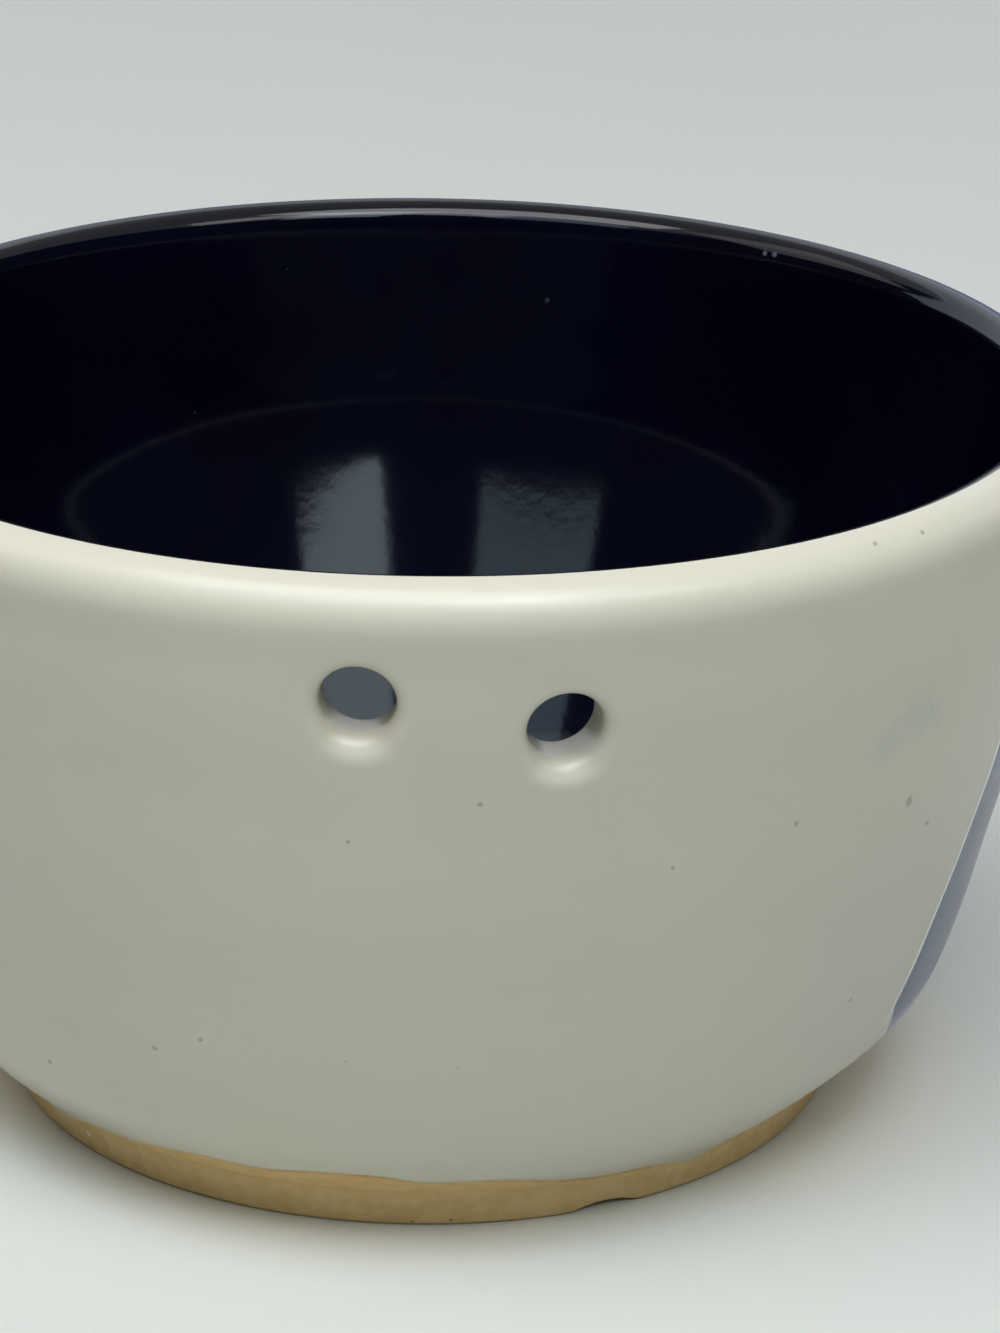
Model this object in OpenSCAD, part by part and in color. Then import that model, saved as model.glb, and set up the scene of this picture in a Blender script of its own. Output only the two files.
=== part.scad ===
// Berry colander bowl: a thrown stoneware bowl on a foot ring, with a glossy cobalt liner,
// a satin white glaze on the front of its outside and a blue glaze dipped over the back.
// The origin is the centre of the foot's base, +Z runs up and -Y is the bowl's front.

/* [Bowl] */
// Outside diameter over the glaze, at the widest part of the lip
bowl_d = 150; // [130:1:190]
// Height from the foot's base to the top of the lip
bowl_h = 85; // [75:1:105]
// Thickness of the clay wall at the lip, without its glaze
wall_t = 7; // [5.5:0.5:8]
// Level thickness of the clay wall where the inside curve begins, without its glaze
wall_base_t = 14; // [10:0.5:15]
// Thickness of the clay floor, without its glaze
floor_t = 6.5; // [5:0.5:9]
// Height of the inside curve that joins the floor to the wall
cove_h = 16.5; // [14:0.5:22]
// Height above the floor at which the floor's raised edge ends and the wall begins
floor_edge_h = 6; // [3:1:10]

/* [Lip] */
// Depth of the lip's rounding, from its top down to its widest part
lip_drop = 4.5; // [3:0.5:7]

/* [Foot ring] */
// Diameter of the foot where it stands
foot_d = 97; // [86:1:104]
// Height of the foot ring under the floor
foot_h = 5; // [4:0.5:7]
// Width of the foot ring's base
foot_w = 9; // [6:0.5:12]
// Number of drain notches across the foot ring
notches = 3; // [2:1:6]
// Width of a drain notch at the base
notch_w = 8; // [6:0.5:12]
// Height of a drain notch
notch_h = 0.8; // [0.6:0.1:1.6]
// Direction of the first notch, counted from the front towards the right
notch_az = 26.5; // [0:0.5:60]

/* [Glaze] */
// Thickness of each coat of glaze
glaze_t = 0.5; // [0.3:0.05:0.8]
// Height at which the white glaze ends above the bare clay
white_line = 8.5; // [7.5:0.5:12]
// Height at which the blue glaze ends above the bare clay
blue_line = 13; // [9:0.5:18]
// Distance of the blue glaze's front edge from the axis, at the base
dip_front = 30.5; // [10:0.5:40]
// Lean of that edge towards the back
dip_lean = 10.5; // [0:0.5:20]
// Direction that the white side faces, counted from the front towards the right
dip_turn = -6; // [-20:1:20]

/* [Side holes] */
// Diameter of the two holes under the lip
side_hole_d = 8; // [5:0.5:9]
// Rounding of their edges
side_edge_r = 1.5; // [0.9:0.1:2]
// Direction of the left hole, counted from the front towards the right
left_hole_az = -4.5; // [-8:0.5:-4]
// Distance of the left hole's centre below the top of the lip
left_hole_drop = 13; // [13:0.5:20]
// Direction of the right hole, counted from the front towards the right
right_hole_az = 12.5; // [12:0.5:20]
// Distance of the right hole's centre below the top of the lip
right_hole_drop = 16; // [13:0.5:20]
// How steeply the right hole rises towards the inside
right_hole_rise = 4; // [0:1:8]

/* [Drain holes] */
// Diameter of the holes through the floor
drain_d = 5; // [4:0.25:6]
// Distance between the rings of holes
drain_pitch = 11; // [9:0.5:12]
// Number of rings round the middle hole
drain_rings = 2; // [1:1:2]

/* [Hidden] */
$fn = 96;

// Overrun of every cut
over = 2;
// Points along the outside wall, each half of the lip, the inside wall and the cove
wall_steps = 30;
lip_steps = 6;
inner_steps = 16;
cove_steps = 10;
// Points of a hole's rounded edge, and the angle through which that edge turns
edge_steps = 4;
edge_turn = 60;

// The clay without its glaze
clay_r = bowl_d / 2 - glaze_t;
clay_h = bowl_h - glaze_t;
foot_r = foot_d / 2;
lip_z = clay_h - lip_drop;
crest_r = clay_r - wall_t / 2;
floor_z = foot_h + floor_t;
cove_z = floor_z + cove_h;
wall_z = floor_z + floor_edge_h;

// The outside wall, from the foot's base to the lip's widest part: each pair is a share of
// the height between them and a share of the way from the foot's radius to the lip's
wall_shares = [
    [0, 0], [0.0625, 0.08], [0.125, 0.28], [0.2, 0.465], [0.3, 0.58], [0.425, 0.68],
    [0.575, 0.795], [0.725, 0.875], [0.87, 0.955], [0.95, 0.98], [1, 1]
];

// A smooth curve through a table of pairs, level at its far end
function span(table, u, i = 0) =
    (i == len(table) - 2 || u < table[i + 1][0]) ? i : span(table, u, i + 1);
function rise(table, i) =
    i == len(table) - 1 ? 0
    : let (a = table[max(i - 1, 0)], b = table[i + 1]) (b[1] - a[1]) / (b[0] - a[0]);
function curve(table, u) =
    let (i = span(table, u), a = table[i], b = table[i + 1], w = b[0] - a[0], s = (u - a[0]) / w)
    a[1] + (b[1] - a[1]) * s * s * (3 - 2 * s)
    + rise(table, i) * w * s * (1 - s) * (1 - s)
    - rise(table, i + 1) * w * s * s * (1 - s);

function outer_r(z) = foot_r + (clay_r - foot_r) * curve(wall_shares, z / lip_z);
// The wall thickens towards its base, slowly at first
swell = 1.6;
function wall_extra(z) = (wall_base_t - wall_t) * pow((lip_z - z) / (lip_z - cove_z), swell);
function inner_r(z) = outer_r(z) - wall_t - wall_extra(z);

// The cove is an arc that leaves the floor level and meets the wall at the wall's own slope
slope_step = cove_h / cove_steps;
wall_lean = atan((inner_r(cove_z + slope_step) - inner_r(cove_z)) / slope_step);
cove_r = cove_h / (1 - sin(wall_lean));
cove_axis_r = inner_r(cove_z) - cove_r * cos(wall_lean);
cove_turn = 90 - wall_lean;

// The clay's surface from under the floor, over the lip and down to the middle of the floor
outer_wall = [
    for (i = [0:wall_steps]) let (z = foot_h + (lip_z - foot_h) * i / wall_steps) [outer_r(z), z]
];
lip_outside = [
    for (i = [1:lip_steps])
        let (a = 90 * i / lip_steps)
        [crest_r + (clay_r - crest_r) * cos(a), lip_z + lip_drop * sin(a)]
];
lip_inside = [
    for (i = [1:lip_steps])
        let (a = 90 + 90 * i / lip_steps)
        [crest_r + (crest_r - inner_r(lip_z)) * cos(a), lip_z + lip_drop * sin(a)]
];
inner_wall = [
    for (i = [1:inner_steps])
        let (z = lip_z + (cove_z - lip_z) * i / inner_steps)
        [inner_r(z), z]
];
cove = [
    for (i = [1:cove_steps])
        let (a = -wall_lean - cove_turn * i / cove_steps)
        [cove_axis_r + cove_r * cos(a), floor_z + cove_r + cove_r * sin(a)]
];
clay_line = concat(outer_wall, lip_outside, lip_inside, inner_wall, cove, [[0, floor_z]]);

// The same line, moved out of the clay by the thickness of the glaze
function unit(v) = v / norm(v);
function outward(line, i) =
    let (t = unit(line[min(i + 1, len(line) - 1)] - line[max(i - 1, 0)])) [t[1], -t[0]];
function moved_line(distance) =
    [for (i = [0:len(clay_line) - 1]) clay_line[i] + distance * outward(clay_line, i)];
glaze_line = moved_line(glaze_t);
half_glaze_line = moved_line(glaze_t / 2);
crest = wall_steps + lip_steps;
last = len(clay_line) - 1;
function stretch(line, from, to) =
    [for (i = [from:(to < from ? -1 : 1):to]) line[i]];

module clay_shape() {
    rotate_extrude()
        polygon(concat(clay_line, [[0, foot_h]]));
}

// The clay with half of the outer glaze's thickness on it
module half_glazed_shape() {
    rotate_extrude()
        polygon(concat(stretch(half_glaze_line, 0, crest), stretch(clay_line, crest, last),
            [[0, foot_h]]));
}

module above(z) {
    translate([0, 0, z])
        cylinder(r = bowl_d, h = bowl_h);
}

module outer_coat(line_z) {
    intersection() {
        rotate_extrude()
            polygon(concat(stretch(clay_line, 0, crest), stretch(glaze_line, crest, 0)));
        above(line_z);
    }
}

// The part of the bowl that was dipped in the blue glaze
module dipped_side() {
    rotate([0, 0, dip_turn])
        translate([0, -dip_front, 0])
            rotate([-dip_lean, 0, 0])
                translate([-bowl_d, 0, -bowl_h])
                    cube([2 * bowl_d, 2 * bowl_d, 3 * bowl_h]);
}

// One hole through the wall, measured from the middle of the glazed wall; half is half of that
// wall's thickness, and grow makes room for the glaze in the hole
side_hole_r = side_hole_d / 2;
function bore_half(half) = half - side_edge_r * sin(edge_turn);
function hole_edge(half, grow, side) = [
    for (i = [0:edge_steps])
        let (a = edge_turn * i / edge_steps, r = side_edge_r - grow)
        [side_hole_r + side_edge_r - r * cos(a), side * (bore_half(half) + r * sin(a))]
];
function hole_mouth(half, grow, side) =
    let (rim = hole_edge(half, grow, side)[edge_steps])
    [rim[0] + half * sin(edge_turn), rim[1] + side * half * cos(edge_turn)];
module hole_shape(half, grow) {
    outside = concat(hole_edge(half, grow, 1), [hole_mouth(half, grow, 1)]);
    inside = concat(hole_edge(half, grow, -1), [hole_mouth(half, grow, -1)]);
    ends = [[0, outside[edge_steps + 1][1]], [0, inside[edge_steps + 1][1]]];
    rotate_extrude()
        polygon(concat(outside, ends, stretch(inside, edge_steps + 1, 0)));
}

module side_hole(az, drop, lean, grow) {
    z = bowl_h - drop;
    middle_r = (outer_r(z) + inner_r(z)) / 2;
    rotate([0, 0, az])
        translate([0, -middle_r, z])
            rotate([90 + lean, 0, 0])
                hole_shape((outer_r(z) - inner_r(z)) / 2 + glaze_t, grow);
}

module side_holes(grow) {
    side_hole(left_hole_az, left_hole_drop, 0, grow);
    side_hole(right_hole_az, right_hole_drop, right_hole_rise, grow);
}

// Drain holes: one in the middle, and six more in each ring than in the ring before it
module drain_holes() {
    for (ring = [0:drain_rings], i = [0:max(6 * ring, 1) - 1])
        rotate([0, 0, ring == 0 ? 0 : 360 * i / (6 * ring)])
            translate([ring * drain_pitch, 0, foot_h - over])
                cylinder(d = drain_d, h = floor_t + glaze_t + 2 * over);
}

// A notch is the top of a cylinder that lies across the foot, below its base
notch_r = (notch_w * notch_w / 4 + notch_h * notch_h) / (2 * notch_h);
module foot_notches() {
    for (i = [0:notches - 1])
        rotate([0, 0, notch_az + 360 * i / notches])
            translate([0, over - foot_r + foot_w, notch_h - notch_r])
                rotate([90, 0, 0])
                    cylinder(r = notch_r, h = foot_w + outer_r(foot_h) - foot_r + 2 * over);
}

// Thrown wall with its lip
module bowl_wall() {
    color("#85744f")
        difference() {
            intersection() {
                clay_shape();
                above(wall_z);
            }
            side_holes(glaze_t);
        }
}

// Pierced floor with the raised edge that the wall grows from
module bowl_floor() {
    color("#85744f")
        difference() {
            clay_shape();
            above(wall_z);
            drain_holes();
        }
}

// Bare ring that the bowl stands on, turned to the wall's own curve on its outside
foot_steps = 4;
module foot_ring() {
    outside = [
        for (i = [0:foot_steps]) let (z = foot_h * i / foot_steps) [outer_r(z), z]
    ];
    inside = [[foot_r - foot_w, foot_h], [foot_r - foot_w, 0]];
    color("#80734f")
        difference() {
            rotate_extrude()
                polygon(concat(outside, inside));
            foot_notches();
        }
}

// Cobalt glaze over the inside, up to the top of the lip
module liner_glaze() {
    color("#0a1030")
        difference() {
            rotate_extrude()
                polygon(concat(stretch(clay_line, crest, last), stretch(glaze_line, last, crest)));
            side_holes(0);
            drain_holes();
        }
}

// White glaze over the front, which also lines the two side holes; their lining reaches halfway
// into the coat, so that it grows out of it
module white_glaze() {
    color("#d0d1c8")
        difference() {
            union() {
                difference() {
                    outer_coat(white_line);
                    dipped_side();
                }
                intersection() {
                    half_glazed_shape();
                    side_holes(glaze_t);
                }
            }
            side_holes(0);
        }
}

// Blue glaze over the back, edge to edge with the white
module blue_glaze() {
    color("#5f6e80")
        intersection() {
            outer_coat(blue_line);
            dipped_side();
        }
}

bowl_wall();
bowl_floor();
foot_ring();
liner_glaze();
white_glaze();
blue_glaze();
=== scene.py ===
# %% [markdown]
# # A berry colander bowl in stoneware
# The bowl is thrown on a wheel, so nearly all of it is one outline turned round an axis.
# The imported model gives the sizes; this script dresses it in smooth glaze with soft edges,
# a wavering glaze line and the small marks that a kiln leaves.

import math

import bmesh
import bpy
from mathutils import Matrix, Vector


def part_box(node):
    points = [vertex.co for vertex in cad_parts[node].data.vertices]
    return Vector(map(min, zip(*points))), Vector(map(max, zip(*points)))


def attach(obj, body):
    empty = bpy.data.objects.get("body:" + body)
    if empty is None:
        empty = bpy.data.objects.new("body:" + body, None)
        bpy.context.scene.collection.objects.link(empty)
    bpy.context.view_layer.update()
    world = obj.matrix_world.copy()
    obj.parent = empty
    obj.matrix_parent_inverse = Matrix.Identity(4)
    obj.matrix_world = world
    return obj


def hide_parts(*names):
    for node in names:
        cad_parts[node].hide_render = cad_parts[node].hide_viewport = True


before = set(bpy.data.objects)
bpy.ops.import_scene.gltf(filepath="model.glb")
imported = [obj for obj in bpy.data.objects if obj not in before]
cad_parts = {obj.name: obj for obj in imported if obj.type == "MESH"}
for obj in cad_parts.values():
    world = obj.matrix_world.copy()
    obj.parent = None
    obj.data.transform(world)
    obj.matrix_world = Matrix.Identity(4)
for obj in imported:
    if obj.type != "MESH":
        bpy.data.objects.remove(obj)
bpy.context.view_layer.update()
print("nodes:", sorted(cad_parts))

# %% [markdown]
# ## Camera
# The photograph was taken from about 0.6 m away with a long lens, looking down by 21 degrees.
# The bowl is wider than the picture, and the camera is rolled by about one degree. Blender's
# camera looks along its own -Z, so its three axes are built from the pitch and the roll.

# %% Camera
MM = 0.001
PHOTO_HEIGHT = 1333
FOCAL_PIXELS = 5000
SENSOR = 36
EYE = Vector((8.8, -546.8, 256.8)) * MM
PITCH = math.radians(20.87)
ROLL = math.radians(0.93)

forward = Vector((0, math.cos(PITCH), -math.sin(PITCH)))
level_right = Vector((1, 0, 0))
level_up = level_right.cross(forward)
right = level_right * math.cos(ROLL) + level_up * math.sin(ROLL)
up = level_up * math.cos(ROLL) - level_right * math.sin(ROLL)
camera_turn = Matrix((right, up, -forward)).transposed().to_4x4()

camera_data = bpy.data.cameras.new("camera")
camera_data.sensor_width = SENSOR
camera_data.lens = FOCAL_PIXELS * SENSOR / PHOTO_HEIGHT
camera_data.clip_start = 10 * MM
camera = bpy.data.objects.new("camera", camera_data)
camera.matrix_world = Matrix.Translation(EYE) @ camera_turn
bpy.context.scene.collection.objects.link(camera)
bpy.context.scene.camera = camera
print("lens:", round(camera_data.lens, 1), "mm")

# %% [markdown]
# ## The bowl's outline
# One smooth curve through a few points gives the outside of the wall. Each point is a share
# of the height and a share of the way from the foot's radius to the lip's. The packed
# model's inside is the same curve less a wall that thickens towards its base; it stays here
# to measure the finer inside against.

# %% Outline of the clay
GLAZE = 0.5 * MM
FOOT_R = 48.5 * MM
FOOT_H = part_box("foot_ring")[1][2]
FOOT_W = 9 * MM
FOOT_IN = FOOT_R - FOOT_W
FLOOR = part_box("liner_glaze")[0][2]
WALL_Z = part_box("bowl_floor")[1][2]
BOWL_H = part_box("liner_glaze")[1][2]
BOWL_R = 75 * MM
LIP_DROP = 4.5 * MM
WALL = 7 * MM
WALL_BASE = 14 * MM
COVE_H = 16.5 * MM
SWELL = 1.6

CLAY_R = BOWL_R - GLAZE
LIP_Z = BOWL_H - GLAZE - LIP_DROP
CREST_R = CLAY_R - WALL / 2
COVE_Z = FLOOR + COVE_H
WALL_SHARES = [
    (0, 0), (0.0625, 0.08), (0.125, 0.28), (0.2, 0.465), (0.3, 0.58), (0.425, 0.68),
    (0.575, 0.795), (0.725, 0.875), (0.87, 0.955), (0.95, 0.98), (1, 1),
]
STEP = 0.1 * MM
QUARTER = math.pi / 2


def rise(table, i):
    """Slope of the curve at one point of its table; the curve ends level."""
    if i == len(table) - 1:
        return 0
    a, b = table[max(i - 1, 0)], table[i + 1]
    return (b[1] - a[1]) / (b[0] - a[0])


def curve(table, u):
    """A smooth curve through the points of a table."""
    i = max(k for k in range(len(table) - 1) if k == 0 or table[k][0] <= u)
    a, b = table[i], table[i + 1]
    w = b[0] - a[0]
    s = (u - a[0]) / w
    return (a[1] + (b[1] - a[1]) * s * s * (3 - 2 * s)
            + rise(table, i) * w * s * (1 - s) ** 2 - rise(table, i + 1) * w * s * s * (1 - s))


def clay_outer(z):
    return FOOT_R + (CLAY_R - FOOT_R) * curve(WALL_SHARES, z / LIP_Z)


def packed_inner_clay(z):
    depth = max(LIP_Z - z, 0) / (LIP_Z - COVE_Z)
    return clay_outer(z) - WALL - (WALL_BASE - WALL) * depth ** SWELL


def steps(start, end, count):
    return [start + (end - start) * i / count for i in range(count + 1)]


def slope_of(radius, z):
    return (radius(z + STEP) - radius(z - STEP)) / (2 * STEP)


def outer_r(z):
    """The outside once its glaze is on, measured square to the clay."""
    return clay_outer(z) + GLAZE * math.hypot(1, slope_of(clay_outer, z))


def packed_inner_r(z):
    return packed_inner_clay(z) - GLAZE * math.hypot(1, slope_of(packed_inner_clay, z))


print("outside at half height:", round(outer_r(BOWL_H / 2) / MM, 1), "mm")

# %% [markdown]
# ## The inside
# The glossy liner mirrors the rim, the two holes and the windows, and the places of those
# mirror images in the photograph tell how far the wall leans at each height: steep below
# the lip, then more and more open. The inside is summed up from those leans, from a tight
# round lip down to the cove. It lies up to 2.6 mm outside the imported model's plainer curve.

# %% Inside
LIP_TURN = 2.6 * MM
LIP_STEPS = 12
LEANS = [  # depth below the lip's tight round in millimetres, lean in degrees
    (0, 8.5), (3, 8.1), (7, 7.5), (13, 6.8), (20, 11), (25, 17), (30, 23), (38, 25),
    (46, 26.2), (61, 27.5),
]
BEVEL = math.radians(LEANS[0][1])
BEVEL_Z = BOWL_H - LIP_TURN * (1 - math.sin(BEVEL))
BEVEL_R = CREST_R - LIP_TURN * math.cos(BEVEL)
COVE_TOP = 22 * MM


def inside_slope(z):
    return math.tan(math.radians(curve(LEANS, max(BEVEL_Z - z, 0) / MM)))


INSIDE_TABLE = [BEVEL_R]
for i in range(round((BEVEL_Z - FLOOR) / STEP)):
    INSIDE_TABLE.append(INSIDE_TABLE[-1] - inside_slope(BEVEL_Z - (i + 0.5) * STEP) * STEP)


def inner_r(z):
    """Radius of the glazed inside."""
    i, share = divmod(max(BEVEL_Z - z, 0) / STEP, 1)
    a, b = INSIDE_TABLE[int(i)], INSIDE_TABLE[min(int(i) + 1, len(INSIDE_TABLE) - 1)]
    return a + (b - a) * share


def inner_clay(z):
    return inner_r(z) + GLAZE * math.hypot(1, inside_slope(z))


def inner_lip(radius=LIP_TURN):
    """The tight round from the crest down to where the bevel starts."""
    middle = BOWL_H - LIP_TURN
    return [(CREST_R - radius * math.cos(a), middle + radius * math.sin(a))
            for a in steps(QUARTER, BEVEL, LIP_STEPS)]


for level in (80, 70, 60, 50, 40, 30):
    finer, packed = inner_r(level * MM) / MM, packed_inner_r(level * MM) / MM
    print(f"inside at {level} mm: {finer:.2f} mm, packed model {packed:.2f} mm")

# %% [markdown]
# ## Turning a surface
# `spin` is a potter's wheel: it sweeps an outline round the axis, and `use_merge` closes the
# last step on the first. A place on the bowl is then an azimuth, counted from the front
# towards the right, a radius and a height. A hand-made bowl is never quite round, so the
# radius carries a slow wobble of a few hundredths of a millimetre, always inwards.

# %% Turning
COLUMNS = 288
ROW = 1.4 * MM
SAME_POINT = 0.001 * MM
SHARP = math.radians(50)
WOBBLE = 0.05 * MM
WOBBLE_RISE = 22 * MM


def polar(point):
    return math.atan2(point.x, -point.y), math.hypot(point.x, point.y)


def place(azimuth, radius, z):
    return Vector((radius * math.sin(azimuth), -radius * math.cos(azimuth), z))


def wobble(azimuth, z):
    slow = math.sin(2 * azimuth + 0.9) + math.sin(3 * azimuth - 1.1 + z / WOBBLE_RISE)
    return WOBBLE * (slow / 2 - 1)


def turned(outline, closed=False, columns=COLUMNS, start=0.0):
    """Spins (radius, height) points round the axis into a surface."""
    bm = bmesh.new()
    verts = [bm.verts.new(place(start, r, z)) for r, z in outline]
    pairs = list(zip(verts, verts[1:])) + ([(verts[-1], verts[0])] if closed else [])
    edges = [bm.edges.new(pair) for pair in pairs]
    bmesh.ops.spin(bm, geom=verts + edges, cent=(0, 0, 0), axis=(0, 0, 1),
                   angle=math.tau, steps=columns, use_merge=True)
    bmesh.ops.remove_doubles(bm, verts=bm.verts, dist=SAME_POINT)
    bmesh.ops.recalc_face_normals(bm, faces=bm.faces)
    return bm


def facing(bm, looks_out):
    """Makes an open surface face away from the axis, or towards it and up."""
    bmesh.ops.recalc_face_normals(bm, faces=bm.faces)
    side = 0
    for f in bm.faces:
        centre = f.calc_center_median()
        away = Vector((centre.x, centre.y, 0))
        side += f.calc_area() * (f.normal.dot(away) - (0 if looks_out else f.normal.z * BOWL_R))
    if (side > 0) != looks_out:
        bmesh.ops.reverse_faces(bm, faces=bm.faces)


def finished(bm, name, thickness=0.0, body="root"):
    """Makes a piece of a mesh; an open one gets a thickness behind its face."""
    for edge in bm.edges:
        edge.smooth = not edge.is_boundary
    mesh = bpy.data.meshes.new(name)
    bm.to_mesh(mesh)
    bm.free()
    mesh.polygons.foreach_set("use_smooth", [True] * len(mesh.polygons))
    if not thickness:
        mesh.set_sharp_from_angle(angle=SHARP)
    piece = bpy.data.objects.new(name, mesh)
    bpy.context.scene.collection.objects.link(piece)
    if thickness:
        wall = piece.modifiers.new("wall", "SOLIDIFY")
        wall.thickness = thickness
        wall.offset = -1
    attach(piece, body)
    print(f"{name}: {len(mesh.polygons)} faces")
    return piece


print("wheel:", COLUMNS, "columns of", round(math.tau * BOWL_R / COLUMNS / MM, 2), "mm at the lip")

# %% [markdown]
# ## Where the glazes end
# The white glaze was poured over the front and ends above the bare foot in a line that
# wanders and runs. The back was dipped in blue at a slant, so the edge between them is
# nearly a flat cut through the bowl. Both edges are functions of the place on the bowl, and
# later the mesh's own rows and columns are pulled onto them, so that they stay crisp.

# %% Edges of the glazes
LINE_LEVEL = 8.5 * MM
LINE_TABLE = [  # azimuth in degrees, height in millimetres
    (-180, 13), (-120, 14), (-80, 12.5), (-62, 6.5), (-54, 3.9), (-44, 6.1), (-36, 7.2),
    (-25, 8.8), (-18, 8.4), (-10, 9.4), (-3, 9.3), (1, 8.1), (10, 8.1), (18, 6.4), (24, 5.7),
    (30, 5.6), (36, 4.4), (39.5, 4.1), (42, 6.6), (48, 10), (60, 14), (80, 16.5), (130, 14.5),
    (180, 13),
]
DIP_FRONT = 30.5 * MM
DIP_LEAN = math.radians(10.5)
DIP_TURN = math.radians(-6)
RIPPLE = math.radians(0.3)
RIPPLE_SHORT, RIPPLE_LONG = 3.1 * MM, 8.7 * MM


def line_z(azimuth):
    """Height of the glaze's lower edge."""
    return curve(LINE_TABLE, math.degrees(azimuth)) * MM


def dip_spread(z):
    """Angle from the middle of the white side to the edge of the blue, at one height."""
    forward_share = (DIP_FRONT - z * math.tan(DIP_LEAN)) / outer_r(min(z, LIP_Z))
    ripple = RIPPLE * math.sin(z / RIPPLE_SHORT) * math.sin(z / RIPPLE_LONG)
    return math.acos(forward_share) + ripple


blue_start = DIP_TURN + dip_spread(BOWL_H / 2)
print("line at the front:", round(line_z(0) / MM, 1), "mm;",
      "blue from", round(math.degrees(blue_start)), "degrees")

# %% [markdown]
# ## The glazed outside
# One surface is turned for the whole outside and cut into the two glazes afterwards, so that
# they meet without a gap. Its lowest row is pulled onto the glaze line and one column on
# each side onto the edge of the dip; the neighbours follow less and less. Along the line the
# glaze thins out to nothing in a rounded bead. Each point keeps its distance above the
# line and from the dip's edge, in millimetres, for the materials to read.

# %% Outside surface
EDGE_ROUND = 0.9 * MM
EDGE_COAT = 0.1
BEAD_ROWS = (0, 0.08, 0.2, 0.4, 0.65, 0.95, 1.4, 2.1)
FADE_H = 30 * MM
SEAM_COLUMN = math.radians(65)
SEAM_FADE = math.radians(40)
SEAM_PULLS = 4


def outside_r(azimuth, z):
    """Radius of the glazed outside, whose glaze thins out along its line."""
    short = 1 - min(max((z - line_z(azimuth)) / EDGE_ROUND, 0), 1)
    coat = max(math.sqrt(1 - short * short), EDGE_COAT)
    return clay_outer(z) + coat * (outer_r(z) - clay_outer(z)) + wobble(azimuth, z)


def lip():
    """The outer half of the lip's section, from the widest level to the crest."""
    return [(CREST_R + (WALL / 2 + GLAZE) * math.cos(a), LIP_Z + (BOWL_H - LIP_Z) * math.sin(a))
            for a in steps(0, QUARTER, LIP_STEPS)]


def outside_surface():
    bead = [LINE_LEVEL + row * MM for row in BEAD_ROWS]
    levels = bead + steps(bead[-1], LIP_Z, round((LIP_Z - bead[-1]) / ROW))[1:-1]
    bm = turned([(outer_r(z), z) for z in levels] + lip(), start=DIP_TURN)
    blue = bm.faces.layers.int.new("blue")
    for f in bm.faces:
        spread = abs(math.remainder(polar(f.calc_center_median())[0] - DIP_TURN, math.tau))
        f[blue] = spread > SEAM_COLUMN
    above = bm.verts.layers.float.new("above_line")
    beyond = bm.verts.layers.float.new("from_dip")
    for v in bm.verts:
        azimuth, radius = polar(v.co)
        column = math.remainder(azimuth - DIP_TURN, math.tau)
        aside = min(abs(abs(column) - SEAM_COLUMN) / SEAM_FADE, 1)
        near_seam = math.cos(aside * QUARTER) ** 2
        near_line = max(1 - (v.co.z - LINE_LEVEL) / FADE_H, 0) ** 2 if v.co.z < LIP_Z else 0
        turn, z = column, v.co.z
        for _ in range(SEAM_PULLS):
            turn = column + math.copysign((dip_spread(z) - SEAM_COLUMN) * near_seam, column)
            azimuth = math.remainder(DIP_TURN + turn, math.tau)
            z = v.co.z + (line_z(azimuth) - LINE_LEVEL) * near_line
        radius = outside_r(azimuth, z) if z < LIP_Z else radius + wobble(azimuth, z)
        v.co = place(azimuth, radius, z)
        v[above] = (z - line_z(azimuth)) / MM
        v[beyond] = (abs(turn) - dip_spread(z)) * radius / MM
    return bm


outside = outside_surface()
print("outside:", len(outside.verts), "points")

# %% [markdown]
# ## The two holes under the lip
# Each hole was pushed through the wet wall, so its edges are soft. The faces round it are
# taken out and a ring of points is set in the opening, on the surface itself. That ring is
# bridged to the ragged edge and then extruded again and again: round the soft edge, through
# the wall and a little way round the inner edge, where the dark liner takes over.

# %% Side holes
HOLE_R = 4 * MM
HOLE_EDGES = {  # rounding of the lower and the upper edge, outside and inside
    1: (2.6 * MM, 1.2 * MM),
    -1: (1.6 * MM, 1.6 * MM),
}
HOLE_SIDES = 48
HOLE_CLEAR = 0.8 * MM
HOLE_PULLS = 8
LINER_TURN = math.radians(45)
SIDE_HOLES = [  # azimuth, height, and the angle by which the bore rises inwards
    (math.radians(-4.5), BOWL_H - 13 * MM, 0.0),
    (math.radians(12.5), BOWL_H - 16 * MM, math.radians(4)),
]


def inside_r(azimuth, z):
    return inner_r(z) + wobble(azimuth, z)


def clay_outside_r(azimuth, z):
    return clay_outer(z) + wobble(azimuth, z)


def clay_inside_r(azimuth, z):
    return inner_clay(z) + wobble(azimuth, z)


SURFACES = {  # by side and by depth under the glaze
    (1, 0): outside_r, (-1, 0): inside_r,
    (1, GLAZE): clay_outside_r, (-1, GLAZE): clay_inside_r,
}


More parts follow.
